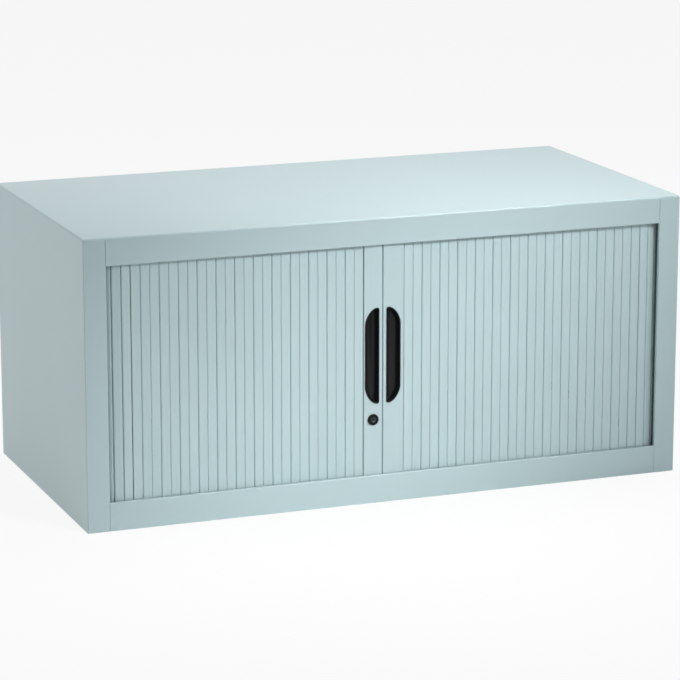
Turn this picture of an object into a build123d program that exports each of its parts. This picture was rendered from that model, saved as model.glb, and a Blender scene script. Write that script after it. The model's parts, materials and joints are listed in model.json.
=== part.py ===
from build123d import *
from collections import namedtuple
from math import ceil, cos, degrees, pi, sin
import os

# Roll front tool cabinet, in millimetres. The front faces -Y, +Z is up, and the origin lies in the middle of
# the footprint. Places near a corner are given as (u, v): u from the outer side face, v from the front face.

# Carcass of folded and spot-welded sheet steel
width = 1000.0
depth = 500.0
height = 460.0
sheet = 1.2
fold_radius = 1.8
top_rim = 4.0
top_edge_radius = 2.5
stile_face = 36.0
frame_return = 5.0
top_rail_face = 44.0
bottom_rail_face = 45.0
rear_flange = 20.0
base_floor = 34.0
ceiling_drop = 33.0
foot_lip = 40.0
weld_lip = 18.0
pan_end_gap = 1.4

# Bolts that hold the cabinet to what it stands on, reached through plugged holes in the floor
foot_hole = 9.0
foot_hole_u = 90.0
foot_hole_v = 28.0
access_hole = 16.0
plug_head = 20.0
plug_head_height = 1.5
plug_depth = 3.0
plug_clearance = 0.1

# Guide tracks: a front run, a quarter turn and a side run, as a U with a low inner lip
front_run = 9.5
side_run = 12.0
track_half = 3.8
track_wall = 1.5
track_floor = 1.5
outer_lip = 9.0
inner_lip = 3.5
track_joint = 0.4
track_tail = 8.0
end_stop_length = 6.0
end_stop_height = 8.0

# Curtains of upright slats, laid out along the tracks from the lead stiles
pitch = 15.15
turn_radius = 50.0
slat_thickness = 4.0
slat_gap = 0.5
slat_lead_gap = 0.6
slat_chamfer = 0.4
pair_bevel = 5.2
corner_bevel = 0.35
groove_width = 1.6
groove_depth = 1.2
slat_end_clearance = 0.7

# Lead stiles at the meeting edges of the two doors
meeting_x = -12.3
left_lead_face = 31.5
right_lead_face = 35.0
lead_depth = 14.0
lead_wall = 1.2
lead_edge_radius = 1.5
lead_setback = 6.0
lead_end_clearance = 1.0
meeting_gap = 1.0
glide_length = 28.0
glide_clearance = 0.2
glide_floor_clearance = 0.1
glide_spigot = 14.0

# Finger cups
cup_width = 24.0
cup_height = 155.0
cup_mid = 238.0
cup_seam_margin = 5.5
cup_end_rise = 28.0
cup_sweep = 20.0
cup_tip_radius = 3.4
cup_rim = 2.0
cup_rim_thickness = 1.2
cup_wall = 1.4
cup_well = 11.0
cup_clearance = 0.2

# Cylinder lock on the left door and its strike on the right door
lock_below_cup = 25.5
lock_head = 18.0
lock_head_height = 2.5
lock_barrel = 14.0
lock_barrel_length = 22.0
lock_hole_clearance = 0.2
plug_diameter = 9.0
plug_fit = 0.05
keyway_width = 1.6
keyway_height = 6.0
keyway_depth = 8.0
nut_across = 20.0
nut_height = 3.0
cam_thickness = 2.0
cam_width = 10.0
cam_reach = 31.0
cam_nose = 9.0
cam_nose_width = 4.0
cam_gap = 0.2
cam_screw_head = 7.0
cam_screw_head_height = 1.6
cam_screw_diameter = 3.0
cam_screw_length = 8.0
screw_clearance = 0.1
strike_thickness = 2.0
strike_catch = 1.5
strike_base = 24.0
strike_height = 28.0
strike_overhang = 2.0

# Countersunk screws
screw_head = 5.4
screw_diameter = 3.0
screw_length = 7.0
back_screw_rows = 2
back_screw_end = 60.0

# Derived places
left_face = -width / 2
front_face = -depth / 2
rim_bottom = height - top_rim
ceiling_underside = height - ceiling_drop
opening_bottom = bottom_rail_face
opening_top = height - top_rail_face
turn_length = turn_radius * pi / 2
turn_u = side_run + turn_radius
turn_v = front_run + turn_radius
slat_bottom = base_floor + inner_lip + slat_end_clearance
slat_top = ceiling_underside - inner_lip - slat_end_clearance
lead_back = lead_setback + lead_depth
lock_height = cup_mid - cup_height / 2 - lock_below_cup
lock_back = lead_setback + lock_barrel_length
cam_front = lock_back + cam_gap

# One door seen in the left half: the slat pairs that the side run takes in, the slats that stay with the lead
# stile, the slats round the quarter turn with their reach along the front run and along the side run, the
# distances of the stile's two edges from the outer side face, the travel, and the tracks' rear end
Door = namedtuple("Door", "pairs carried turning front_reach side_reach lead_u meeting_u travel track_end")


def door_for(lead_face, meeting_u):
    lead_u = meeting_u - lead_face
    run = lead_u - slat_lead_gap - turn_u
    slats = int(run / pitch)
    front_reach = run - slats * pitch
    turning = ceil((front_reach + turn_length) / pitch)
    side_reach = turning * pitch - front_reach - turn_length
    side_start = turn_v + side_reach
    side_room = depth - 2 * sheet - track_tail - side_start
    pairs = min(slats // 2, int(side_room / (2 * pitch)))
    carried = slats - 2 * pairs
    travel = 2 * pairs * pitch
    track_end = side_start + travel + track_tail
    return Door(pairs, carried, turning, front_reach, side_reach, lead_u, meeting_u, travel, track_end)


left_door = door_for(left_lead_face, width / 2 + meeting_x - meeting_gap / 2)
right_door = door_for(right_lead_face, width / 2 - meeting_x - meeting_gap / 2)
lock_x = left_face + left_door.lead_u + left_lead_face / 2


def at(u, v, z=0.0):
    """A place in the left half, from the outer side face and the front face."""
    return Vector(left_face + u, front_face + v, z)


def block(u0, u1, v0, v1, z0, z1):
    """A block in the left half between two distances each way."""
    low = at(u0, v0, z0)
    return Pos(low) * Box(u1 - u0, v1 - v0, z1 - z0, align=Align.MIN)


def mirrored(shape):
    return mirror(shape, about=Plane.YZ)


def across(section):
    """Turns a section drawn as (y, z) into the plane of X = 0."""
    return Plane.YZ * section


def folded(points, side):
    """The section of a folded sheet, from the line of its outer face."""
    face_line = FilletPolyline(*points, radius=fold_radius)
    return make_face(offset(face_line, amount=sheet, side=side))


def countersunk_screw(head, shank, length):
    """A countersunk screw with its head face at the origin, pointing to -Z."""
    cone = (head - shank) / 2
    outline = Polyline((0, 0), (head / 2, 0), (shank / 2, -cone), (shank / 2, -length), (0, -length), close=True)
    return revolve(Plane.XZ * make_face(outline), Axis.Z)


def countersunk_hole(head, shank, length):
    return countersunk_screw(head + 2 * screw_clearance, shank + 2 * screw_clearance, length + screw_clearance)


# Carcass


def side_panel():
    """The left side, folded into the front stile with its return and into the rear flange."""
    line = (
        at(stile_face, frame_return),
        at(stile_face, 0),
        at(0, 0),
        at(0, depth),
        at(rear_flange, depth),
    )
    panel = extrude(folded(line, side=Side.RIGHT), amount=rim_bottom)
    behind_face = (sheet, 2 * frame_return)
    panel -= block(stile_face - 2 * fold_radius, stile_face + 1, *behind_face, -1, opening_bottom)
    panel -= block(stile_face - 2 * fold_radius, stile_face + 1, *behind_face, opening_top, height)
    for spot in back_screw_places():
        panel -= spot * countersunk_hole(screw_head, screw_diameter, screw_length)
    return panel


def back_screw_places():
    """Places of the screws through the left rear flange."""
    step = (rim_bottom - 2 * back_screw_end) / (back_screw_rows - 1)
    rows = [back_screw_end + step * row for row in range(back_screw_rows)]
    return [Pos(at(rear_flange / 2, depth, z)) * Rot(-90, 0, 0) for z in rows]


def top_panel():
    """A shallow pan that closes the top, with rolled edges."""
    pan = Pos(0, 0, rim_bottom) * Box(width, depth, top_rim, align=(Align.CENTER, Align.CENTER, Align.MIN))
    pan = fillet(pan.faces().sort_by(Axis.Z)[-1].edges(), top_edge_radius)
    return offset(pan, amount=-sheet, openings=pan.faces().sort_by(Axis.Z)[0])


def rail(edge_z, free_z):
    """A front rail between the stiles, from its return at the opening to its plain edge."""
    line = ((front_face + frame_return, edge_z), (front_face, edge_z), (front_face, free_z))
    inside = Side.LEFT if free_z < edge_z else Side.RIGHT
    section = across(folded(line, side=inside))
    return extrude(section, amount=width / 2 - stile_face, both=True)


def lipped_pan(deck_z, lip_z, lip):
    """A deck between front and rear flanges with lips turned inwards, drawn by its outer faces."""
    front = front_face + sheet
    rear = -front - sheet
    line = ((front + lip, lip_z), (front, lip_z), (front, deck_z), (rear, deck_z), (rear, lip_z), (rear - lip, lip_z))
    inside = Side.RIGHT if deck_z > lip_z else Side.LEFT
    section = across(folded(line, side=inside))
    return extrude(section, amount=width / 2 - sheet - pan_end_gap, both=True)


def foot_hole_places():
    x = width / 2 - foot_hole_u
    y = depth / 2 - foot_hole_v
    return [(-x, -y), (x, -y), (-x, y), (x, y)]


def base_panel():
    """The floor, with feet lips that take the holding bolts."""
    panel = lipped_pan(base_floor, 0, foot_lip)
    for x, y in foot_hole_places():
        panel -= Pos(x, y, 0) * Cylinder(foot_hole / 2, 4 * sheet)
        panel -= Pos(x, y, base_floor) * Cylinder(access_hole / 2, 4 * sheet)
    return panel


def ceiling_panel():
    """The inner ceiling that carries the upper tracks, welded under the top."""
    return lipped_pan(ceiling_underside, height - sheet, weld_lip)


def back_panel():
    edge = sheet + pan_end_gap
    panel = Box(width - 2 * edge, sheet, height - edge, align=(Align.CENTER, Align.MAX, Align.MIN))
    panel = Pos(0, depth / 2 - sheet, 0) * panel
    hole = Cylinder(screw_diameter / 2 + screw_clearance, 4 * screw_length)
    for spot in back_screw_places():
        panel -= spot * hole
        panel -= mirrored(spot * hole)
    return panel


def back_panel_screws():
    left = [spot * countersunk_screw(screw_head, screw_diameter, screw_length) for spot in back_screw_places()]
    return left + [mirrored(screw) for screw in left]


def floor_plugs():
    """Snap-in covers of the access holes."""
    plugs = []
    for x, y in foot_hole_places():
        head = Cylinder(plug_head / 2, plug_head_height, align=(Align.CENTER, Align.CENTER, Align.MIN))
        radius = access_hole / 2 - plug_clearance
        body = Cylinder(radius, plug_depth, align=(Align.CENTER, Align.CENTER, Align.MAX))
        plugs.append(Pos(x, y, base_floor) * (head + body))
    return plugs


# Guide tracks


def track_band(track_end, outward, inward):
    """The plan of a strip that follows a left track between two offsets from its middle line."""
    start_x = -track_joint / 2
    y_front = front_face + front_run
    x_side = left_face + side_run
    y_end = front_face + track_end
    outer = FilletPolyline(
        (start_x, y_front - outward),
        (x_side - outward, y_front - outward),
        (x_side - outward, y_end),
        radius=turn_radius + outward,
    )
    inner = FilletPolyline(
        (x_side - inward, y_end),
        (x_side - inward, y_front - inward),
        (start_x, y_front - inward),
        radius=turn_radius + inward,
    )
    ends = [Line(outer @ 1, inner @ 0), Line(inner @ 1, outer @ 0)]
    return make_face(outer.edges() + inner.edges() + [end.edge() for end in ends])


def lower_track(track_end):
    """A left lower track, bonded to the base floor."""
    edge = track_half + track_wall
    track = extrude(track_band(track_end, edge, -edge), amount=track_floor)
    track += extrude(track_band(track_end, edge, track_half), amount=outer_lip)
    track += extrude(track_band(track_end, -track_half, -edge), amount=inner_lip)
    return Pos(0, 0, base_floor) * track


def to_ceiling(shape):
    """Puts what stands on the floor under the ceiling, upside down."""
    return Pos(0, 0, base_floor + ceiling_underside) * mirror(shape, about=Plane.XY)


def end_stops(track_end):
    """Rubber blocks that stop a left curtain at the rear ends of its tracks."""
    low = base_floor + track_floor
    half = track_half - glide_clearance
    block_end = track_end - (track_tail - end_stop_length) / 2
    stop = block(
        side_run - half, side_run + half, block_end - end_stop_length, block_end, low, low + end_stop_height
    )
    return [stop, to_ceiling(stop)]


def track_end_stops():
    right = [mirrored(stop) for stop in end_stops(right_door.track_end)]
    return end_stops(left_door.track_end) + right


# Curtain


def slat_strip(count, bevel):
    """The section of slats side by side, front face towards -Y, with grooves between them."""
    half = count * pitch / 2 - slat_gap / 2
    front = -slat_thickness / 2
    back = slat_thickness / 2
    outline = (
        (-half, front + slat_chamfer),
        (-half + slat_chamfer, front),
        (half - slat_chamfer, front),
        (half, front + slat_chamfer),
        (half - bevel, back),
        (-half + bevel, back),
    )
    strip = make_face(Polyline(*outline, close=True))
    notch = ((-groove_width / 2, front), (groove_width / 2, front), (0, front + groove_depth))
    for seam in range(1, count):
        x = (seam - count / 2) * pitch
        strip -= Pos(x, 0) * make_face(Polyline(*notch, close=True))
    return strip


def upright(section, place, turn=0.0):
    """Slats of full height on a section, at a place in the left half."""
    length = slat_top - slat_bottom
    return Pos(place) * Rot(0, 0, turn) * extrude(section, amount=length)


def slat_pair(door, number):
    """One pair of moving slats, numbered from the corner to the lead stile."""
    u = turn_u + door.front_reach + (2 * number - 1) * pitch
    return upright(slat_strip(2, pair_bevel), at(u, front_run, slat_bottom))


def carried_slats(door):
    """The slats next to a lead stile that are fixed to it, in one strip."""
    u = turn_u + door.front_reach + (2 * door.pairs + door.carried / 2) * pitch
    return upright(slat_strip(door.carried, pair_bevel), at(u, front_run, slat_bottom))


def along_track(distance):
    """Place and turn of a slat in a left track, from the front end of the quarter turn."""
    if distance < 0:
        return at(turn_u - distance, front_run, slat_bottom), 0
    if distance > turn_length:
        return at(side_run, turn_v + distance - turn_length, slat_bottom), -90
    angle = distance / turn_radius
    place = at(turn_u - turn_radius * sin(angle), turn_v - turn_radius * cos(angle), slat_bottom)
    return place, -degrees(angle)


def corner_run(door):
    """The slats that stand round the quarter turn."""
    starts = [number * pitch - door.front_reach for number in range(door.turning)]
    return [upright(slat_strip(1, corner_bevel), *along_track(start + pitch / 2)) for start in starts]


# Lead stiles, cups and glides


def cup_outline(meeting_u, inset):
    """The outline of a finger cup seen from the front as (x, z): its ends sweep away from the meeting edge."""
    seam_x = left_face + meeting_u - cup_seam_margin
    outer_x = seam_x - cup_width
    sweep_x = outer_x + cup_sweep
    edge_x = seam_x - inset
    high = cup_mid + cup_height / 2
    low = cup_mid - cup_height / 2
    reach = (cup_sweep - inset, cup_end_rise - inset)
    upper = EllipticalCenterArc((sweep_x, high - cup_end_rise), *reach, start_angle=90, arc_size=90)
    lower = EllipticalCenterArc((sweep_x, low + cup_end_rise), *reach, start_angle=180, arc_size=90)
    corners = ((sweep_x, low + inset), (edge_x, low + inset), (edge_x, high - inset), (sweep_x, high - inset))
    straight = Polyline(*corners)
    outer = Line((outer_x + inset, high - cup_end_rise), (outer_x + inset, low + cup_end_rise))
    face = make_face(upper.edges() + lower.edges() + straight.edges() + outer.edges())
    if inset >= cup_tip_radius:
        return face
    return fillet(face.vertices().group_by(Axis.X)[-1], cup_tip_radius - inset)


def cup_block(door, inset, v0, v1):
    """A block with a cup outline between two distances behind the front face."""
    face = Plane.XZ * cup_outline(door.meeting_u, inset)
    return Pos(0, front_face + v1, 0) * extrude(face, amount=v1 - v0)


def lead_tube(door):
    """A lead stile as a hollow section, drawn in the left half."""
    low = base_floor + outer_lip + lead_end_clearance
    high = ceiling_underside - outer_lip - lead_end_clearance
    tube = block(door.lead_u, door.meeting_u, lead_setback, lead_back, low, high)
    tube = fillet(tube.edges().filter_by(Axis.Z), lead_edge_radius)
    inner_u = (door.lead_u + lead_wall, door.meeting_u - lead_wall)
    tube -= block(*inner_u, lead_setback + lead_wall, lead_back - lead_wall, low - 1, high + 1)
    return tube - cup_block(door, cup_rim - cup_clearance, lead_setback - 1, lead_setback + 2 * lead_wall)


def left_lead_stile():
    """The left lead stile, bored for the lock."""
    bore = Cylinder(lock_barrel / 2 + lock_hole_clearance, 3 * lead_depth)
    return lead_tube(left_door) - Pos(lock_x, front_face + lead_setback, lock_height) * Rot(90, 0, 0) * bore


def right_lead_stile():
    return mirrored(lead_tube(right_door))


def handle_cup(door):
    """A finger cup: a rim on the face of the stile and a well behind it."""
    cup = cup_block(door, 0, lead_setback - cup_rim_thickness, lead_setback)
    cup += cup_block(door, cup_rim, lead_setback, lead_setback + cup_well)
    inner = cup_rim + cup_wall
    return cup - cup_block(door, inner, lead_setback - 2 * cup_rim_thickness, lead_setback + cup_well - cup_wall)


def glides(door):
    """Plastic ends of a lead stile, which run in the tracks."""
    mid_u = (door.lead_u + door.meeting_u) / 2
    low = base_floor + track_floor + glide_floor_clearance
    seat = base_floor + outer_lip + lead_end_clearance
    half = track_half - glide_clearance
    foot = block(mid_u - glide_length / 2, mid_u + glide_length / 2, front_run - half, front_run + half, low, seat)
    inside = lead_wall + glide_clearance
    spigot_u = (door.lead_u + inside, door.meeting_u - inside)
    spigot = block(*spigot_u, lead_setback + inside, lead_back - inside, seat, seat + glide_spigot)
    lower = foot + spigot
    return [lower, to_ceiling(lower)]


# Lock and strike


def turned(outline):
    """A turned piece on the lock's axis; the outline is (radius, distance behind the front face)."""
    body = revolve(Plane.XZ * make_face(Polyline(*outline, close=True)), Axis.Z)
    return Pos(lock_x, front_face, lock_height) * Rot(-90, 0, 0) * body


def lock_housing():
    """Head and threaded barrel."""
    bore = plug_diameter / 2 + plug_fit
    front = lead_setback - lock_head_height
    outline = (
        (bore, front),
        (lock_head / 2, front),
        (lock_head / 2, lead_setback),
        (lock_barrel / 2, lead_setback),
        (lock_barrel / 2, lock_back),
        (bore, lock_back),
    )
    return turned(outline)


def lock_plug():
    """The plug that the key turns, with the keyway open to the front."""
    front = lead_setback - lock_head_height
    radius = plug_diameter / 2
    plug = turned(((0, front), (radius, front), (radius, cam_front), (0, cam_front)))
    keyway = Box(keyway_width, 2 * keyway_depth, keyway_height)
    plug -= Pos(lock_x, front_face + front, lock_height) * keyway
    hole = Cylinder(cam_screw_diameter / 2 + screw_clearance, 2 * cam_screw_length)
    return plug - Pos(lock_x, front_face + cam_front, lock_height) * Rot(90, 0, 0) * hole


def lock_nut():
    """The nut that draws the lock against the back of the stile."""
    nut = extrude(RegularPolygon(nut_across / 2, 6, major_radius=False), amount=nut_height)
    nut -= Cylinder(lock_barrel / 2 + screw_clearance, 4 * nut_height)
    return Pos(lock_x, front_face + lead_back, lock_height) * Rot(-90, 0, 0) * nut


def lock_cam():
    """The hooked cam, upright while the lock is open."""
    bar = Pos(0, cam_reach / 2) * Rectangle(cam_width, cam_reach)
    bar += Circle(cam_width / 2)
    nose_x = cam_width / 2 + cam_nose / 2
    bar += Pos(nose_x, cam_reach - cam_nose_width / 2) * Rectangle(cam_nose, cam_nose_width)
    bar -= Circle(cam_screw_diameter / 2 + screw_clearance)
    plate = extrude(Plane.XZ * bar, amount=-cam_thickness)
    return Pos(lock_x, front_face + cam_front, lock_height) * plate


def cam_screw():
    """The pan-head screw that holds the cam on the plug."""
    back = cam_front + cam_thickness
    outline = (
        (0, back + cam_screw_head_height),
        (cam_screw_head / 2, back + cam_screw_head_height),
        (cam_screw_head / 2, back),
        (cam_screw_diameter / 2, back),
        (cam_screw_diameter / 2, back - cam_screw_length),
        (0, back - cam_screw_length),
    )
    return turned(outline)


def strike_edge():
    """Where the strike's upright face stands: the cam's nose passes behind it."""
    return lock_x + cam_reach - cam_nose_width - strike_catch


def strike_plate():
    """An angle welded to the back of the right lead stile, which the cam hooks behind."""
    edge = strike_edge()
    top = lock_height - cam_width / 2 - strike_catch
    rear = cam_front + cam_thickness + strike_overhang
    back = front_face + lead_back
    base = Pos(edge - strike_thickness, back, top - strike_height)
    plate = base * Box(strike_base, strike_thickness, strike_height, align=Align.MIN)
    plate += base * Box(strike_thickness, rear - lead_back, strike_height, align=Align.MIN)
    return plate


def nodes():
    """Every piece by name."""
    parts = {
        "left_side_panel": side_panel(),
        "right_side_panel": mirrored(side_panel()),
        "top_panel": top_panel(),
        "ceiling_panel": ceiling_panel(),
        "base_panel": base_panel(),
        "back_panel": back_panel(),
        "top_rail": rail(opening_top, rim_bottom),
        "bottom_rail": rail(opening_bottom, 0),
        "back_panel_screws": back_panel_screws(),
        "floor_plugs": floor_plugs(),
        "lower_left_track": lower_track(left_door.track_end),
        "lower_right_track": mirrored(lower_track(right_door.track_end)),
        "upper_left_track": to_ceiling(lower_track(left_door.track_end)),
        "upper_right_track": mirrored(to_ceiling(lower_track(right_door.track_end))),
        "track_end_stops": track_end_stops(),
        "left_corner_slats": corner_run(left_door),
        "right_corner_slats": [mirrored(slat) for slat in corner_run(right_door)],
        "left_lead_stile": left_lead_stile(),
        "right_lead_stile": right_lead_stile(),
        "left_handle_cup": handle_cup(left_door),
        "right_handle_cup": mirrored(handle_cup(right_door)),
        "left_glides": glides(left_door),
        "right_glides": [mirrored(glide) for glide in glides(right_door)],
        "lock_housing": lock_housing(),
        "lock_nut": lock_nut(),
        "lock_plug": lock_plug(),
        "lock_cam": lock_cam(),
        "cam_screw": cam_screw(),
        "strike_plate": strike_plate(),
    }
    for number in range(1, left_door.pairs + 1):
        parts[f"left_slats_{number:02d}"] = slat_pair(left_door, number)
    for number in range(1, right_door.pairs + 1):
        parts[f"right_slats_{number:02d}"] = mirrored(slat_pair(right_door, number))
    if left_door.carried:
        parts["left_carried_slat"] = carried_slats(left_door)
    if right_door.carried:
        parts["right_carried_slat"] = mirrored(carried_slats(right_door))
    return parts


def main():
    os.makedirs("parts", exist_ok=True)
    for name, piece in nodes().items():
        if isinstance(piece, list):
            piece = Compound(children=[Solid(solid.solids()[0].wrapped) for solid in piece])
        export_step(piece, f"parts/{name}.step")


if __name__ == "__main__":
    main()
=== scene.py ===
import json
from math import ceil, cos, pi, radians, sin

import bmesh
import bpy
from bpy.props import FloatProperty, FloatVectorProperty, IntProperty, PointerProperty
from bpy.types import Operator, Panel, PropertyGroup
from mathutils import Matrix, Vector

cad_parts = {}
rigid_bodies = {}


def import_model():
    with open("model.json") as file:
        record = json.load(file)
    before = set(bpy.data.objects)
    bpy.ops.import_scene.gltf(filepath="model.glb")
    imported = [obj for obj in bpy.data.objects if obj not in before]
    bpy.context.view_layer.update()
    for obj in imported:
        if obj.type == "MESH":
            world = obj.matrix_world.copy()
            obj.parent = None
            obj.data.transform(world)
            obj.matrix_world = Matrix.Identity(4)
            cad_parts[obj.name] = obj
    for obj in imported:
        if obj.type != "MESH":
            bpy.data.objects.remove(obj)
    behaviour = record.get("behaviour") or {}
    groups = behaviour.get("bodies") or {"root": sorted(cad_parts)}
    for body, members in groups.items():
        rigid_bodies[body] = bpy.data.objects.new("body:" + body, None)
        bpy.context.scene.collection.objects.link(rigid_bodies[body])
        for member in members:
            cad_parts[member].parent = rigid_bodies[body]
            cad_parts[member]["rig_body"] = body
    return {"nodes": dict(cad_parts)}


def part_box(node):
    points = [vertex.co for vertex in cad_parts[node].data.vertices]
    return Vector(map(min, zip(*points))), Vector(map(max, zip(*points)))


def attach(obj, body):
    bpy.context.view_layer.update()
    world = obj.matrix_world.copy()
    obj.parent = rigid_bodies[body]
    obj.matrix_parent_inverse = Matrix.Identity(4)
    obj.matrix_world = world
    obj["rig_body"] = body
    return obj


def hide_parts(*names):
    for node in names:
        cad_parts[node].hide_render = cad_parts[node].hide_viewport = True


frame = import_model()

bl_info = {
    "name": "Roll front tool cabinet",
    "version": (1, 0, 0),
    "blender": (4, 5, 0),
    "location": "View3D > Sidebar > Cabinet",
    "description": "Dresses the sheet steel cabinet with its slats, finger cups, lock and finishes",
    "category": "Object",
}

MM = 0.001
SIDES = {"left": -1, "right": 1}

# Vertices this close are merged, coordinates this close count as one, and a cut keeps this far from an end
MERGED = 0.001 * MM
SAME = 0.004 * MM
END_MARGIN = 0.01 * MM

# Depth at the corner of a groove's bottom, at its mouth and on its rounded shoulder, as shares of the whole
GROOVE_SHARES = (0.85, 0.22, 0.05)
GROOVE_FLARE = 0.25 * MM
ROUNDING_SHARE = 0.65
FLUTE_HALF_WIDTH = 1.2 * MM

# Steps across a finger cup from its rim inwards, in millimetres: (inwards, deeper)
CUP_LIP = ((0.8, 0.0), (0.9, 0.9), (1.4, 4.6))
CUP_FLOOR = ((1.2, 2.6), (1.6, 1.6), (2.0, 0.8))
CUP_ROUNDING = 0.35 * MM

# The lock head's rounded edge, the flat ring inside it and the small step down to its face
HEAD_CORNERS = 64
HEAD_EDGE = 0.9 * MM
HEAD_RING = 0.8 * MM
HEAD_STEP = 0.3 * MM
HEAD_STEP_DEPTH = 0.35 * MM

PLUG_CORNERS = 48
PLUG_RIM = 0.5 * MM
PLUG_DISH_WIDTH = 2.5 * MM
PLUG_DISH_DEPTH = 1.3 * MM
SCREW_CLEARANCE = 0.1 * MM

# The recess is a cross of two bars, their length and width as shares of the head's radius
SCREW_CORNERS = 24
SCREW_TIP = 0.4 * MM
SCREW_TIP_SHARE = 0.6
RECESS_LENGTH = 1.15
RECESS_WIDTH = 0.36
RECESS_HEIGHT = 1.6 * MM
SCREW_TURN = 17

# Share of plain white that rays see on the floor
FLOOR_WHITE = 0.88
SURROUNDINGS = (0.96, 0.99, 1, 1)
SURROUNDINGS_STRENGTH = 0.31
CABINET_MIDDLE = (0, 0, 0.23)

CAMERA_PLACE = (-1.7848, -4.677, 1.4013)
CAMERA_TILT = 76.584
CAMERA_YAW = -20.988
CAMERA_LENS = 165.55
CAMERA_SENSOR = 36


def linear(code):
    """An sRGB hex colour as linear red, green and blue."""
    parts = [int(code[i:i + 2], 16) / 255 for i in (0, 2, 4)]
    return tuple(c / 12.92 if c <= 0.04045 else ((c + 0.055) / 1.055) ** 2.4 for c in parts)


def length_property(name, description, default_mm):
    return FloatProperty(
        name=name, description=description, default=default_mm * MM, min=0, unit="LENGTH", precision=5
    )


def colour_property(name, description, code):
    return FloatVectorProperty(
        name=name, description=description, default=linear(code), size=3, min=0, max=1, subtype="COLOR"
    )


class CabinetSizes(PropertyGroup):
    """Sizes of what is modelled here; all else comes from the frame."""

    slat_gap: length_property("Slat gap", "Gap between neighbouring slats", 0.5)
    groove_depth: length_property("Groove depth", "Depth of the groove between two slats", 2.0)
    groove_width: length_property("Groove width", "Width of the groove at its bottom", 1.4)
    end_groove: length_property("End groove", "Depth of the groove between two moving pieces", 0.4)
    shoulder: length_property("Shoulder", "From a groove's middle to the slat's flat face", 2.2)
    flute_depth: length_property("Flute depth", "Depth of the faint flute down a slat's middle", 0.14)
    pair_bevel: length_property("Pair bevel", "Slope at the back edges of a pair of slats", 5.2)
    corner_bevel: length_property("Corner bevel", "Slope at the back edges of a corner slat", 0.35)
    side_run: length_property("Side run", "Track's middle line from the outer side face", 12)
    cup_sweep: length_property("Cup sweep", "Width of a finger cup's swept ends", 20)
    cup_rise: length_property("Cup rise", "Height of a finger cup's swept ends", 28)
    cup_rim: length_property("Cup rim", "Thickness of a finger cup's rim", 1.2)
    cup_flange: length_property("Cup flange", "Overlap of the rim on the stile", 2)
    cup_tip: length_property("Cup tip", "Radius of a finger cup's two tips", 3.4)
    lock_barrel: length_property("Lock barrel", "Diameter of the lock's barrel", 14)
    lock_bore: length_property("Lock bore", "Diameter of the bore that the plug turns in", 9.1)
    keyway_width: length_property("Keyway width", "Width of the keyway in the plug", 1.6)
    keyway_height: length_property("Keyway height", "Height of the keyway in the plug", 6)
    keyway_depth: length_property("Keyway depth", "Depth of the keyway in the plug", 8)
    sheet: length_property("Sheet", "Thickness of the carcass's sheet steel", 1.2)
    top_roll: length_property("Top roll", "Radius of the top's rolled edges", 3.4)
    screw_head: length_property("Screw head", "Diameter of a countersunk screw head", 5.4)
    screw_shank: length_property("Screw shank", "Diameter of a screw's shank", 3)
    turn_radius: length_property("Turn radius", "Radius of the track's middle line in a quarter turn", 50)
    back_screw_rows: IntProperty(
        name="Back screw rows", description="Screws in a rear flange", default=2, min=2
    )


class CabinetColours(PropertyGroup):
    """Colours of the finishes, as they look in plain light."""

    enamel: colour_property("Enamel", "Powder coat of the carcass", "b4c8cb")
    slats: colour_property("Slats", "Pigment of the slats", "b5cacd")
    lead: colour_property("Lead stiles", "Powder coat of the lead stiles", "b4c8cb")
    cups: colour_property("Finger cups", "Pigment of the finger cups", "0c0d0e")
    tracks: colour_property("Tracks", "Pigment of the guide tracks", "6d7476")
    lock: colour_property("Lock", "Black finish of the lock head", "15191a")
    plug: colour_property("Lock plug", "Plating of the lock plug", "404647")
    zinc: colour_property("Zinc", "Plating of screws and fittings", "b4b6b2")
    rubber: colour_property("Rubber", "End stops and floor plugs", "1b1c1d")
    floor: colour_property("Floor", "Paper of the studio floor", "f4f5f5")


# Materials


def add(tree, kind, settings=None, inputs=None):
    """Adds a node with its settings, and puts a value or another node's output into each input."""
    made = tree.nodes.new(kind)
    for name, value in (settings or {}).items():
        setattr(made, name, value)
    for name, value in (inputs or {}).items():
        if isinstance(value, bpy.types.NodeSocket):
            tree.links.new(value, made.inputs[name])
        else:
            made.inputs[name].default_value = value
    return made


def started(name):
    """A new material's tree and its Object coordinates."""
    material = bpy.data.materials.new(name)
    material.use_nodes = True
    material.node_tree.nodes.clear()
    where = add(material.node_tree, "ShaderNodeTexCoord").outputs["Object"]
    return material, material.node_tree, where


def shade(colour, amount):
    """A colour made lighter or darker by a share, with its alpha."""
    return (*[min(1, c * amount) for c in colour], 1)


def finished(material, shader):
    add(material.node_tree, "ShaderNodeOutputMaterial", inputs={"Surface": shader.outputs[0]})
    return material


def varied(tree, factor, low, high):
    """A value between two limits, steered by a factor from 0 to 1."""
    made = add(tree, "ShaderNodeMapRange", inputs={"Value": factor, "To Min": low, "To Max": high})
    return made.outputs[0]


def tinted(tree, factor, colour, low, high):
    """A colour between two shades of itself."""
    inputs = {0: factor, 6: shade(colour, low), 7: shade(colour, high)}
    made = add(tree, "ShaderNodeMix", {"data_type": "RGBA"}, inputs)
    return made.outputs[2]


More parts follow.
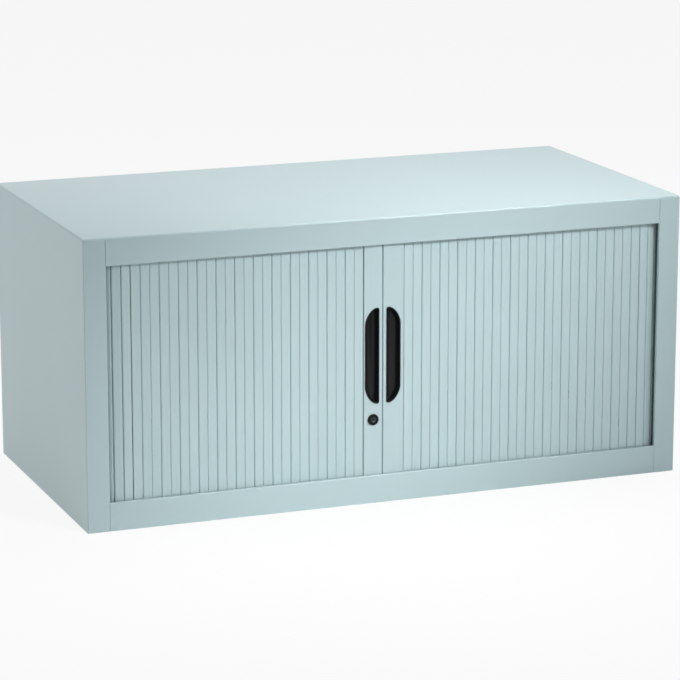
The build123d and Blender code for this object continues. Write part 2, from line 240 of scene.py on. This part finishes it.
def powder_coated_steel(name, colour):
    """Sheet steel, powder coated and baked: an even satin skin with orange peel and a drift in tone."""
    material, tree, where = started(name)
    # Drift of the coat over about 300 mm
    drift = add(tree, "ShaderNodeTexNoise", inputs={"Vector": where, "Scale": 1 / 0.3, "Detail": 2.0})
    # Real orange peel is 1 to 2 mm wide; drawn at 4 mm so that it shows
    peel = add(tree, "ShaderNodeTexNoise", inputs={"Vector": where, "Scale": 1 / (4 * MM), "Detail": 3.0})
    relief = {"Strength": 0.12, "Distance": 0.06 * MM, "Height": peel.outputs[0]}
    bump = add(tree, "ShaderNodeBump", inputs=relief)
    shader = add(
        tree,
        "ShaderNodeBsdfPrincipled",
        inputs={
            "Base Color": tinted(tree, drift.outputs[0], colour, 0.97, 1.03),
            "Roughness": varied(tree, peel.outputs[0], 0.34, 0.44),
            "IOR": 1.5,
            "Normal": bump.outputs[0],
        },
    )
    return finished(material, shader)


def extruded_pvc(name, colour):
    """Extruded PVC: draw lines run the length of each slat, under a soft skin sheen."""
    material, tree, where = started(name)
    # Draw lines 0.8 mm apart across the slat and 400 mm long
    scale = (1 / (0.8 * MM), 1 / (0.8 * MM), 2.5)
    stretch = add(tree, "ShaderNodeMapping", inputs={"Vector": where, "Scale": scale})
    drawn = {"Vector": stretch.outputs[0], "Scale": 1.0, "Detail": 2.0}
    lines = add(tree, "ShaderNodeTexNoise", inputs=drawn)
    batch = add(tree, "ShaderNodeTexNoise", inputs={"Vector": where, "Scale": 1 / 0.12, "Detail": 1.0})
    relief = {"Strength": 0.15, "Distance": 0.03 * MM, "Height": lines.outputs[0]}
    bump = add(tree, "ShaderNodeBump", inputs=relief)
    shader = add(
        tree,
        "ShaderNodeBsdfPrincipled",
        inputs={
            "Base Color": tinted(tree, batch.outputs[0], colour, 0.97, 1.03),
            "Roughness": varied(tree, lines.outputs[0], 0.36, 0.5),
            "IOR": 1.53,
            "Normal": bump.outputs[0],
        },
    )
    return finished(material, shader)


def moulded_plastic(name, colour, grain, low, high):
    """Injection-moulded plastic with a spark-eroded grain: fine pits that break up the sheen."""
    material, tree, where = started(name)
    pits = add(tree, "ShaderNodeTexVoronoi", inputs={"Vector": where, "Scale": 1 / grain})
    flow = add(tree, "ShaderNodeTexNoise", inputs={"Vector": where, "Scale": 1 / (30 * MM), "Detail": 2.0})
    relief = {"Strength": 0.25, "Distance": 0.05 * MM, "Height": pits.outputs[0]}
    bump = add(tree, "ShaderNodeBump", inputs=relief)
    shader = add(
        tree,
        "ShaderNodeBsdfPrincipled",
        inputs={
            "Base Color": tinted(tree, flow.outputs[0], colour, 0.85, 1.2),
            "Roughness": varied(tree, pits.outputs[0], low, high),
            "IOR": 1.54,
            # The pits trap about half of what a smooth skin would reflect
            "Specular IOR Level": 0.22,
            "Normal": bump.outputs[0],
        },
    )
    return finished(material, shader)


def plated_metal(name, colour, grain, low, high):
    """Plated metal: a fine mottled grain that scatters the reflection."""
    material, tree, where = started(name)
    mottle = add(tree, "ShaderNodeTexNoise", inputs={"Vector": where, "Scale": 1 / grain, "Detail": 4.0})
    relief = {"Strength": 0.2, "Distance": 0.02 * MM, "Height": mottle.outputs[0]}
    bump = add(tree, "ShaderNodeBump", inputs=relief)
    shader = add(
        tree,
        "ShaderNodeBsdfPrincipled",
        inputs={
            "Base Color": tinted(tree, mottle.outputs[0], colour, 0.88, 1.1),
            "Metallic": 1.0,
            "Roughness": varied(tree, mottle.outputs[0], low, high),
            "Normal": bump.outputs[0],
        },
    )
    return finished(material, shader)


def black_lacquer(name, colour):
    """Die-cast zinc under thin black lacquer: deep black, with a slightly wavy skin."""
    material, tree, where = started(name)
    wave = add(tree, "ShaderNodeTexNoise", inputs={"Vector": where, "Scale": 1 / (2 * MM), "Detail": 2.0})
    relief = {"Strength": 0.15, "Distance": 0.03 * MM, "Height": wave.outputs[0]}
    bump = add(tree, "ShaderNodeBump", inputs=relief)
    shader = add(
        tree,
        "ShaderNodeBsdfPrincipled",
        inputs={
            "Base Color": tinted(tree, wave.outputs[0], colour, 0.9, 1.15),
            "Roughness": varied(tree, wave.outputs[0], 0.2, 0.3),
            # Stays black beside white surroundings
            "Specular IOR Level": 0.12,
            "Normal": bump.outputs[0],
        },
    )
    return finished(material, shader)


def finish(name):
    """One of the cabinet's materials, made when it is first asked for."""
    if name in bpy.data.materials:
        return bpy.data.materials[name]
    c = bpy.context.scene.cabinet_colours
    makers = {
        # Baked powder: satin, evenly pale, with orange peel
        "Powder-coated steel sheet": lambda n: powder_coated_steel(n, c.enamel),
        # The same process on the tubes
        "Powder-coated steel tube": lambda n: powder_coated_steel(n, c.lead),
        # Draw lines and a soft sheen
        "Extruded PVC slat": lambda n: extruded_pvc(n, c.slats),
        # Near black with a low sheen, grain 0.9 mm
        "Spark-grained black ABS": lambda n: moulded_plastic(n, c.cups, 0.9 * MM, 0.38, 0.5),
        # Waxy mid grey that wears to a sheen where the slats run
        "Moulded acetal track": lambda n: moulded_plastic(n, c.tracks, 1.4 * MM, 0.4, 0.52),
        # Dull black that takes almost no highlight
        "Moulded rubber": lambda n: moulded_plastic(n, c.rubber, 1.2 * MM, 0.7, 0.85),
        # Deep black with a narrow highlight
        "Black-lacquered die-cast zinc": lambda n: black_lacquer(n, c.lock),
        # Grey metal with a soft bloom
        "Nickel-plated brass": lambda n: plated_metal(n, c.plug, 1.0 * MM, 0.28, 0.4),
        # Mottled silver
        "Zinc-plated steel": lambda n: plated_metal(n, c.zinc, 1.6 * MM, 0.3, 0.46),
    }
    return makers[name](name)


def coat(obj, name):
    """Gives an object one material in place of those that it has."""
    obj.data.materials.clear()
    obj.data.materials.append(finish(name))


def coat_nodes(name, *nodes):
    for node in nodes:
        coat(frame["nodes"][node], name)


# Modelling


def clear_selection():
    if bpy.context.object and bpy.context.object.mode != "OBJECT":
        bpy.ops.object.mode_set(mode="OBJECT")
    bpy.ops.object.select_all(action="DESELECT")


def pick(kind, test):
    """In edit mode, selects only the vertices, edges or faces that pass a test of their middle."""
    bpy.ops.mesh.select_mode(type=kind)
    bpy.ops.mesh.select_all(action="DESELECT")
    mesh = bmesh.from_edit_mesh(bpy.context.object.data)
    found = 0
    for item in {"VERT": mesh.verts, "EDGE": mesh.edges, "FACE": mesh.faces}[kind]:
        corners = [item.co] if kind == "VERT" else [v.co for v in item.verts]
        if test(sum(corners, Vector()) / len(corners), item):
            item.select_set(True)
            found += 1
    if not found:
        raise RuntimeError(f"nothing to select on {bpy.context.object.name}")
    mesh.select_flush_mode()
    bmesh.update_edit_mesh(bpy.context.object.data)


def near(a, b):
    return abs(a - b) < SAME


def settle(name, smooth=40):
    """Ends edit mode, names the piece, points its faces outwards and puts its object at the origin."""
    bpy.ops.mesh.select_all(action="SELECT")
    bpy.ops.mesh.remove_doubles(threshold=MERGED)
    bpy.ops.mesh.normals_make_consistent(inside=False)
    bpy.ops.object.mode_set(mode="OBJECT")
    obj = bpy.context.object
    obj.name = obj.data.name = name
    bpy.ops.object.transform_apply(location=True, rotation=True, scale=True)
    bpy.ops.object.shade_smooth_by_angle(angle=radians(smooth))
    return obj


def rounded(obj, width, segments, angle):
    """Rounds the sharp edges."""
    bevel = obj.modifiers.new("Rounded edges", "BEVEL")
    bevel.width = width
    bevel.segments = segments
    bevel.limit_method = "ANGLE"
    bevel.angle_limit = radians(angle)
    bevel.use_clamp_overlap = True
    bpy.ops.object.modifier_apply(modifier=bevel.name)
    bpy.ops.object.shade_smooth_by_angle(angle=radians(angle))


def copied(master, name, matrix):
    """A copy with its own mesh, its place in the mesh."""
    obj = bpy.data.objects.new(name, master.data.copy())
    obj.data.name = name
    obj.data.transform(matrix)
    bpy.context.scene.collection.objects.link(obj)
    return obj


def joined(pieces, name):
    clear_selection()
    for piece in pieces:
        piece.select_set(True)
    bpy.context.view_layer.objects.active = pieces[0]
    bpy.ops.object.join()
    obj = bpy.context.object
    obj.name = obj.data.name = name
    return obj


def cut(obj, cutter, name):
    """Cuts a cutter's shape out of a piece and removes the cutter."""
    bpy.context.view_layer.objects.active = obj
    made = obj.modifiers.new(name, "BOOLEAN")
    made.operation = "DIFFERENCE"
    made.object = cutter
    bpy.ops.object.modifier_apply(modifier=made.name)
    bpy.data.objects.remove(cutter)


def put(obj, body, node, material):
    """Hangs a piece on its body in place of a CAD node."""
    coat(obj, material)
    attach(obj, body)
    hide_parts(node)


def body_of(node):
    return frame["nodes"][node]["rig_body"]


# Curtain


def slat_profile(pitch, sizes):
    """Stations across one slat, from a seam's middle to the next: (distance, depth)."""
    half = pitch / 2
    bottom, mouth, rounding = GROOVE_SHARES
    side = [
        (sizes.slat_gap / 2, sizes.groove_depth),
        (sizes.groove_width / 2, bottom * sizes.groove_depth),
        (sizes.groove_width / 2 + GROOVE_FLARE, mouth * sizes.groove_depth),
        (ROUNDING_SHARE * sizes.shoulder, rounding * sizes.groove_depth),
        (sizes.shoulder, 0.0),
        (half - FLUTE_HALF_WIDTH, 0.0),
    ]
    return side + [(half, sizes.flute_depth)] + [(pitch - s, depth) for s, depth in reversed(side)]


def slat_master(count, pitch, low, high, bevel, end_groove, sizes):
    """Upright slats side by side, front towards -Y, cut from one strip with its own grooves at its ends."""
    half = count * pitch / 2 - sizes.slat_gap / 2
    thickness = high.y - low.y
    clear_selection()
    bpy.ops.mesh.primitive_cube_add(
        size=1, location=(0, 0, (low.z + high.z) / 2), scale=(2 * half, thickness, high.z - low.z)
    )
    bpy.ops.object.transform_apply(location=True, rotation=True, scale=True)
    bpy.ops.object.mode_set(mode="EDIT")
    # Stations within this distance of the strip's end belong to its end groove
    end_zone = pitch / 4
    depths = {}
    for slat in range(count):
        start = slat * pitch - count * pitch / 2
        for s, depth in slat_profile(pitch, sizes):
            x = max(-half, min(half, start + s))
            if abs(x) > half - end_zone:
                depth *= end_groove / sizes.groove_depth
            depths[round(x, 7)] = depth
            if abs(x) < half - END_MARGIN:
                bpy.ops.mesh.select_all(action="SELECT")
                bpy.ops.mesh.bisect(plane_co=(x, 0, 0), plane_no=(1, 0, 0))
    front = -thickness / 2
    for depth in sorted(set(depths.values()) - {0.0}):
        places = [x for x, d in depths.items() if d == depth]
        pick("VERT", lambda mid, v: near(mid.y, front) and any(near(mid.x, x) for x in places))
        bpy.ops.transform.translate(value=(0, depth, 0))
    # The slope from the end groove to the back lets neighbours turn past each other.
    # Known fault: the corner slat's narrow slope isn't cut, and faces are doubled at its sides and back.
    for sign in (-1, 1):
        bpy.ops.mesh.select_all(action="SELECT")
        bpy.ops.mesh.bisect(
            plane_co=(sign * half, front + end_groove, 0),
            plane_no=(sign * (thickness - end_groove), bevel, 0),
            use_fill=True,
            clear_outer=True,
            threshold=MERGED,
        )
    return settle("slat_master", smooth=55)


class CABINET_OT_curtains(Operator):
    """Slats of both curtains, in pairs that follow the track, and those in the quarter turns"""

    bl_idname = "cabinet.curtains"
    bl_label = "Curtains"

    def execute(self, context):
        sizes = context.scene.cabinet_sizes
        low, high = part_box("left_slats_01")
        pitch = (high.x - low.x + sizes.slat_gap) / 2
        finish_name, slot = "Extruded PVC slat", "slat_enamel"
        middle = Vector((0, (low.y + high.y) / 2, 0))
        pair = slat_master(2, pitch, low, high, sizes.pair_bevel, sizes.end_groove, sizes)
        single = slat_master(1, pitch, low, high, sizes.pair_bevel, sizes.end_groove, sizes)
        corner_slat = slat_master(1, pitch, low, high, sizes.corner_bevel, sizes.groove_depth, sizes)
        for node in sorted(frame["nodes"]):
            side = node.split("_")[0]
            moving = node.startswith(f"{side}_slats_")
            if not (moving or node.endswith("_carried_slat")):
                continue
            a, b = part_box(node)
            middle.x = (a.x + b.x) / 2
            master = pair if moving else single
            slats = copied(master, f"{node}_profile", Matrix.Translation(middle))
            put(slats, body_of(node), node, finish_name)
        radius = sizes.turn_radius
        length = radius * pi / 2
        turn_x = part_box("left_side_panel")[0].x + sizes.side_run + radius
        for side, sign in SIDES.items():
            # How far the corner's slats reach along the front run, up to the first moving pair
            reach = -max(abs(corner.x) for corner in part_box(f"{side}_slats_01")) - sizes.slat_gap / 2 - turn_x
            slats = []
            for number in range(ceil((reach + length) / pitch)):
                along = (number + 0.5) * pitch - reach
                angle = min(max(along, 0), length) / radius
                x = turn_x - radius * sin(angle) - min(along, 0)
                y = middle.y + radius * (1 - cos(angle)) + max(along - length, 0)
                turn = Matrix.Rotation(sign * angle, 4, "Z")
                place = Matrix.Translation((-sign * x, y, 0)) @ turn
                slats.append(copied(corner_slat, f"{side}_corner_{number}", place))
            node = f"{side}_corner_slats"
            put(joined(slats, f"{node}_profile"), body_of(node), node, finish_name)
        for master in (pair, single, corner_slat):
            bpy.data.objects.remove(master)
        return {"FINISHED"}


# Finger cups


def finger_cup(name, node, straight, sizes):
    """A scooped cup with a rolled rim; straight is the sign of X at its upright side."""
    low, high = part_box(node)
    middle = (low + high) / 2
    width, height = high.x - low.x, high.z - low.z
    stretch = sizes.cup_rise / sizes.cup_sweep
    clear_selection()
    bpy.ops.mesh.primitive_plane_add(size=1, location=(middle.x, low.y, middle.z), rotation=(pi / 2, 0, 0))
    bpy.ops.object.transform_apply(location=True, rotation=True, scale=True)
    bpy.ops.object.mode_set(mode="EDIT")
    bpy.ops.mesh.select_all(action="SELECT")
    centre = (middle.x, low.y, middle.z)
    bpy.ops.transform.resize(value=(width, 1, height / stretch), center_override=centre)
    swept_x = middle.x - straight * width / 2
    pick("VERT", lambda mid, v: near(mid.x, swept_x))
    bpy.ops.mesh.bevel(
        offset=sizes.cup_sweep, offset_type="OFFSET", segments=12, profile=0.45, affect="VERTICES"
    )
    bpy.ops.mesh.select_all(action="SELECT")
    bpy.ops.transform.resize(value=(1, 1, stretch), center_override=centre)
    seam_x = middle.x + straight * width / 2
    pick("VERT", lambda mid, v: near(mid.x, seam_x))
    bpy.ops.mesh.bevel(offset=sizes.cup_tip, offset_type="OFFSET", segments=5, affect="VERTICES")
    bpy.ops.mesh.select_all(action="SELECT")
    bpy.ops.mesh.extrude_region_move(TRANSFORM_OT_translate={"value": (0, sizes.cup_rim, 0)})
    bpy.ops.mesh.select_all(action="SELECT")
    bpy.ops.mesh.normals_make_consistent(inside=False)
    back_y = low.y + sizes.cup_rim
    pick("FACE", lambda mid, f: near(mid.y, back_y) and abs(f.normal.y) > 0.9)
    bpy.ops.mesh.inset(thickness=sizes.cup_flange, use_even_offset=True)
    bpy.ops.mesh.extrude_region_move(TRANSFORM_OT_translate={"value": (0, high.y - back_y, 0)})
    pick("FACE", lambda mid, f: near(mid.y, low.y) and abs(f.normal.y) > 0.9)
    depth = inset = 0.0
    for step, drop in CUP_LIP:
        bpy.ops.mesh.inset(thickness=step * MM, depth=-drop * MM, use_even_offset=True)
        depth, inset = depth + drop * MM, inset + step * MM
    # Further in, an inset would use up the tips' radius, so the floor is drawn smaller instead
    for step, drop in CUP_FLOOR:
        bpy.ops.mesh.extrude_region_move(TRANSFORM_OT_translate={"value": (0, drop * MM, 0)})
        depth += drop * MM
        across, along = width / 2 - inset, height / 2 - inset
        shrink = (1 - step * MM / across, 1, 1 - step * MM / along)
        bpy.ops.transform.resize(value=shrink, center_override=(middle.x, low.y + depth, middle.z))
        inset += step * MM
    obj = settle(name, smooth=50)
    rounded(obj, CUP_ROUNDING, segments=2, angle=50)
    return obj


class CABINET_OT_finger_cups(Operator):
    """Black finger cups let into the two lead stiles"""

    bl_idname = "cabinet.finger_cups"
    bl_label = "Finger cups"

    def execute(self, context):
        sizes = context.scene.cabinet_sizes
        for side, sign in SIDES.items():
            node = f"{side}_handle_cup"
            cup = finger_cup(f"{side}_finger_cup", node, -sign, sizes)
            put(cup, body_of(node), node, "Spark-grained black ABS")
        return {"FINISHED"}


# Lock


def dished_plug(sizes):
    """The plug with a dished face, its keyway, and its bore for the cam's screw."""
    low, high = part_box("lock_plug")
    middle = (low + high) / 2
    radius = (high.x - low.x) / 2
    clear_selection()
    bpy.ops.mesh.primitive_cylinder_add(
        vertices=PLUG_CORNERS,
        radius=radius,
        depth=high.y - low.y,
        location=middle,
        rotation=(pi / 2, 0, 0),
    )
    bpy.ops.object.transform_apply(location=True, rotation=True, scale=True)
    bpy.ops.object.mode_set(mode="EDIT")
    pick("FACE", lambda mid, f: near(mid.y, low.y) and len(f.verts) == PLUG_CORNERS)
    bpy.ops.mesh.inset(thickness=PLUG_RIM)
    bpy.ops.mesh.inset(thickness=PLUG_DISH_WIDTH, depth=-PLUG_DISH_DEPTH)
    plug = settle("lock_plug_dished", smooth=50)
    clear_selection()
    across = (sizes.keyway_width, 2 * sizes.keyway_depth, sizes.keyway_height)
    bpy.ops.mesh.primitive_cube_add(size=1, location=(middle.x, low.y, middle.z), scale=across)
    cut(plug, bpy.context.object, "Keyway")
    screw_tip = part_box("cam_screw")[0].y
    clear_selection()
    bpy.ops.mesh.primitive_cylinder_add(
        vertices=SCREW_CORNERS,
        radius=sizes.screw_shank / 2 + SCREW_CLEARANCE,
        depth=2 * (high.y - screw_tip),
        location=(middle.x, high.y, middle.z),
        rotation=(pi / 2, 0, 0),
    )
    cut(plug, bpy.context.object, "Screw bore")
    return plug


class CABINET_OT_lock(Operator):
    """Lock head and barrel, with the plug, cam, nut and strike"""

    bl_idname = "cabinet.lock"
    bl_label = "Lock"

    def execute(self, context):
        sizes = context.scene.cabinet_sizes
        low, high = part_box("lock_housing")
        middle = (low + high) / 2
        head = (high.x - low.x) / 2
        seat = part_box("left_lead_stile")[0].y
        bore = sizes.lock_bore / 2
        clear_selection()
        bpy.ops.mesh.primitive_cylinder_add(
            vertices=HEAD_CORNERS,
            radius=head,
            depth=seat - low.y,
            location=(middle.x, (seat + low.y) / 2, middle.z),
            rotation=(pi / 2, 0, 0),
        )
        bpy.ops.object.transform_apply(location=True, rotation=True, scale=True)
        bpy.ops.object.mode_set(mode="EDIT")
        pick("EDGE", lambda mid, e: all(near(v.co.y, low.y) for v in e.verts))
        bpy.ops.mesh.bevel(offset=HEAD_EDGE, segments=4, affect="EDGES")
        pick("FACE", lambda mid, f: near(mid.y, low.y) and len(f.verts) == HEAD_CORNERS)
        bpy.ops.mesh.inset(thickness=HEAD_RING)
        bpy.ops.mesh.inset(thickness=HEAD_STEP, depth=-HEAD_STEP_DEPTH)
        bpy.ops.mesh.inset(thickness=head - (HEAD_EDGE + HEAD_RING + HEAD_STEP) - bore)
        bpy.ops.mesh.delete(type="FACE")
        pick("FACE", lambda mid, f: near(mid.y, seat) and len(f.verts) == HEAD_CORNERS)
        bpy.ops.mesh.inset(thickness=head - sizes.lock_barrel / 2)
        bpy.ops.mesh.extrude_region_move(TRANSFORM_OT_translate={"value": (0, high.y - seat, 0)})
        bpy.ops.mesh.inset(thickness=sizes.lock_barrel / 2 - bore)
        bpy.ops.mesh.delete(type="FACE")
        pick("EDGE", lambda mid, e: e.is_boundary)
        bpy.ops.mesh.bridge_edge_loops()
        housing = settle("lock_head")
        put(housing, body_of("lock_housing"), "lock_housing", "Black-lacquered die-cast zinc")
        put(dished_plug(sizes), body_of("lock_plug"), "lock_plug", "Nickel-plated brass")
        coat_nodes("Zinc-plated steel", "lock_nut", "lock_cam", "cam_screw", "strike_plate")
        return {"FINISHED"}


# Screws


def screw_master(length, sizes):
    """A countersunk cross-recess screw with its head face at the origin, pointing to -Z."""
    head, shank = sizes.screw_head / 2, sizes.screw_shank / 2
    cone = head - shank
    clear_selection()
    bpy.ops.mesh.primitive_cone_add(
        vertices=SCREW_CORNERS, radius1=shank, radius2=head, depth=cone, location=(0, 0, -cone / 2)
    )
    bpy.ops.object.transform_apply(location=True, rotation=True, scale=True)
    bpy.ops.object.mode_set(mode="EDIT")
    pick("FACE", lambda mid, f: near(mid.z, -cone) and len(f.verts) == SCREW_CORNERS)
    bpy.ops.mesh.extrude_region_move(TRANSFORM_OT_translate={"value": (0, 0, cone + SCREW_TIP - length)})
    bpy.ops.mesh.extrude_region_move(TRANSFORM_OT_translate={"value": (0, 0, -SCREW_TIP)})
    tip = (SCREW_TIP_SHARE, SCREW_TIP_SHARE, 1)
    bpy.ops.transform.resize(value=tip, center_override=(0, 0, -length))
    screw = settle("screw_master")
    for turn in (0, pi / 2):
        clear_selection()
        bar = (RECESS_LENGTH * head, RECESS_WIDTH * head, RECESS_HEIGHT)
        bpy.ops.mesh.primitive_cube_add(size=1, scale=bar, rotation=(0, 0, turn))
        bpy.ops.object.transform_apply(location=True, rotation=True, scale=True)
        cut(screw, bpy.context.object, "Cross recess")
    return screw


def screws(node, places, length, sizes):
    """Screws at (point, direction of the head) in place of a CAD node."""
    master = screw_master(length, sizes)
    made = []
    for number, (point, facing) in enumerate(places):
        turn = Vector(facing).to_track_quat("Z", "Y").to_matrix().to_4x4()
        spin = Matrix.Rotation(radians(SCREW_TURN * number), 4, "Z")
        made.append(copied(master, f"{node}_{number}", Matrix.Translation(point) @ turn @ spin))
    bpy.data.objects.remove(master)
    put(joined(made, f"{node}_recessed"), body_of(node), node, "Zinc-plated steel")


class CABINET_OT_screws(Operator):
    """Cross-recess screws of the back panel"""

    bl_idname = "cabinet.screws"
    bl_label = "Screws"

    def execute(self, context):
        sizes = context.scene.cabinet_sizes
        r = sizes.screw_head / 2
        low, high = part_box("back_panel_screws")
        step = (high.z - low.z - 2 * r) / (sizes.back_screw_rows - 1)
        rows = [low.z + r + step * row for row in range(sizes.back_screw_rows)]
        back = [((x, high.y, z), (0, 1, 0)) for x in (low.x + r, high.x - r) for z in rows]
        screws("back_panel_screws", back, high.y - low.y, sizes)
        return {"FINISHED"}


# Finishes of the CAD nodes


def rolled_top(sizes):
    """The shallow top pan with rolled edges and rounded corners, hollow underneath."""
    low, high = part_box("top_panel")
    clear_selection()
    bpy.ops.mesh.primitive_cube_add(size=1, location=(low + high) / 2, scale=high - low)
    bpy.ops.object.transform_apply(location=True, rotation=True, scale=True)
    bpy.ops.object.mode_set(mode="EDIT")
    pick("EDGE", lambda mid, e: near(mid.z, high.z) or near(mid.z, (low.z + high.z) / 2))
    bpy.ops.mesh.bevel(offset=sizes.top_roll, segments=5, affect="EDGES")
    pick("FACE", lambda mid, f: near(mid.z, low.z))
    bpy.ops.mesh.inset(thickness=sizes.sheet)
    hollow = high.z - low.z - sizes.sheet
    bpy.ops.mesh.extrude_region_move(TRANSFORM_OT_translate={"value": (0, 0, hollow)})
    return settle("top_pan")


class CABINET_OT_carcass(Operator):
    """Powder coat on the folded sheets of the carcass with its rolled top, and its floor plugs"""

    bl_idname = "cabinet.carcass"
    bl_label = "Carcass"

    def execute(self, context):
        sheets = ["left_side_panel", "right_side_panel", "top_panel", "ceiling_panel", "base_panel"]
        sheets += ["back_panel", "top_rail", "bottom_rail"]
        coat_nodes("Powder-coated steel sheet", *sheets)
        top = rolled_top(context.scene.cabinet_sizes)
        put(top, body_of("top_panel"), "top_panel", "Powder-coated steel sheet")
        coat_nodes("Spark-grained black ABS", "floor_plugs")
        return {"FINISHED"}


class CABINET_OT_lead_stiles(Operator):
    """Powder coat on the lead stiles, and their glides"""

    bl_idname = "cabinet.lead_stiles"
    bl_label = "Lead stiles"

    def execute(self, context):
        coat_nodes("Powder-coated steel tube", "left_lead_stile", "right_lead_stile")
        coat_nodes("Spark-grained black ABS", "left_glides", "right_glides")
        return {"FINISHED"}


class CABINET_OT_guides(Operator):
    """Guide tracks and their rubber end stops"""

    bl_idname = "cabinet.guides"
    bl_label = "Guides"

    def execute(self, context):
        tracks = [f"{level}_{side}_track" for level in ("lower", "upper") for side in SIDES]
        coat_nodes("Moulded acetal track", *tracks)
        coat_nodes("Moulded rubber", "track_end_stops")
        return {"FINISHED"}


# Stage


def background_rays(tree, share):
    """The share of a background colour that camera, glossy and transmission rays see."""
    path = add(tree, "ShaderNodeLightPath")
    seen = path.outputs["Is Camera Ray"]
    for name in ("Is Glossy Ray", "Is Transmission Ray"):
        inputs = {0: seen, 1: path.outputs[name]}
        seen = add(tree, "ShaderNodeMath", {"operation": "MAXIMUM"}, inputs).outputs[0]
    return add(tree, "ShaderNodeMath", {"operation": "MULTIPLY"}, {0: seen, 1: share}).outputs[0]


def softbox(name, place, aim, size, power, spread=180, roll=0):
    """An area lamp aimed at a point, with its light narrowed to a spread and its face rolled, in degrees."""
    bpy.ops.object.light_add(type="AREA", location=place)
    lamp = bpy.context.object
    lamp.name = name
    facing = (Vector(aim) - Vector(place)).to_track_quat("-Z", "Y").to_matrix()
    lamp.rotation_euler = (facing @ Matrix.Rotation(radians(roll), 3, "Z")).to_euler()
    lamp.data.shape = "RECTANGLE"
    lamp.data.size, lamp.data.size_y = size
    lamp.data.energy = power
    lamp.data.spread = radians(spread)


class CABINET_OT_stage(Operator):
    """Pale floor, soft lamps, white surroundings and the camera"""

    bl_idname = "cabinet.stage"
    bl_label = "Stage"

    def execute(self, context):
        colours = context.scene.cabinet_colours
        clear_selection()
        bpy.ops.mesh.primitive_plane_add(size=60, location=(0, 0, 0))
        floor = context.object
        floor.name = "floor"
        material, tree, where = started("Matt studio paper")
        # Paper fibre over about 20 mm
        fibre = add(tree, "ShaderNodeTexNoise", inputs={"Vector": where, "Scale": 50.0})
        tone = tinted(tree, fibre.outputs[0], colours.floor, 0.99, 1.01)
        paper = add(tree, "ShaderNodeBsdfPrincipled", inputs={"Base Color": tone, "Roughness": 0.9})
        white = add(tree, "ShaderNodeEmission", inputs={"Color": (1, 1, 1, 1), "Strength": 1.0})
        inputs = {0: background_rays(tree, FLOOR_WHITE), 1: paper.outputs[0], 2: white.outputs[0]}
        coat_shader = add(tree, "ShaderNodeMixShader", inputs=inputs)
        finished(material, coat_shader)
        floor.data.materials.append(material)

        world = bpy.data.worlds.new("White surroundings")
        context.scene.world = world
        world.use_nodes = True
        world.node_tree.nodes.clear()
        tree = world.node_tree
        light = {"Color": SURROUNDINGS, "Strength": SURROUNDINGS_STRENGTH}
        dim = add(tree, "ShaderNodeBackground", inputs=light)
        seen = add(tree, "ShaderNodeBackground", inputs={"Color": (1, 1, 1, 1), "Strength": 1.0})
        inputs = {0: background_rays(tree, 1.0), 1: dim.outputs[0], 2: seen.outputs[0]}
        both = add(tree, "ShaderNodeMixShader", inputs=inputs)
        add(tree, "ShaderNodeOutputWorld", inputs={"Surface": both.outputs[0]})

        softbox(
            "key softbox",
            place=(0.95, -2.05, 1.85),
            aim=(0.0, -0.25, 0.25),
            size=(1.0, 0.35),
            power=2.27,
            spread=30,
            roll=28,
        )
        softbox("fill softbox", place=(0.2, -3.2, 2.4), aim=CABINET_MIDDLE, size=(1.8, 1.4), power=0.6)
        softbox("top softbox", place=(1.0, 0.5, 2.9), aim=(0.3, 0.1, 0.46), size=(1.8, 1.6), power=38.5)
        softbox("side softbox", place=(-3.2, 0.9, 1.4), aim=CABINET_MIDDLE, size=(1.6, 1.2), power=22.5)

        bpy.ops.object.camera_add(
            location=CAMERA_PLACE, rotation=(radians(CAMERA_TILT), 0, radians(CAMERA_YAW))
        )
        camera = context.object
        camera.data.sensor_width = CAMERA_SENSOR
        camera.data.lens = CAMERA_LENS
        context.scene.camera = camera
        context.scene.view_settings.view_transform = "Standard"
        return {"FINISHED"}


OPERATORS = (
    CABINET_OT_carcass,
    CABINET_OT_guides,
    CABINET_OT_curtains,
    CABINET_OT_lead_stiles,
    CABINET_OT_finger_cups,
    CABINET_OT_lock,
    CABINET_OT_screws,
    CABINET_OT_stage,
)


class CABINET_PT_pieces(Panel):
    """The cabinet's pieces and the values that they are made from"""

    bl_idname = "CABINET_PT_pieces"
    bl_label = "Roll front tool cabinet"
    bl_space_type = "VIEW_3D"
    bl_region_type = "UI"
    bl_category = "Cabinet"

    def draw(self, context):
        for group in (context.scene.cabinet_sizes, context.scene.cabinet_colours):
            for name in group.__annotations__:
                self.layout.prop(group, name)
        for operator in OPERATORS:
            self.layout.operator(operator.bl_idname)


CLASSES = (CabinetSizes, CabinetColours, *OPERATORS, CABINET_PT_pieces)


def register():
    for cls in CLASSES:
        bpy.utils.register_class(cls)
    bpy.types.Scene.cabinet_sizes = PointerProperty(type=CabinetSizes)
    bpy.types.Scene.cabinet_colours = PointerProperty(type=CabinetColours)


def unregister():
    del bpy.types.Scene.cabinet_colours
    del bpy.types.Scene.cabinet_sizes
    for cls in reversed(CLASSES):
        bpy.utils.unregister_class(cls)


def main():
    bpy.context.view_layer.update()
    register()
    bpy.ops.cabinet.carcass()
    bpy.ops.cabinet.guides()
    bpy.ops.cabinet.curtains()
    bpy.ops.cabinet.lead_stiles()
    bpy.ops.cabinet.finger_cups()
    bpy.ops.cabinet.lock()
    bpy.ops.cabinet.screws()
    bpy.ops.cabinet.stage()


if __name__ == "__main__":
    main()
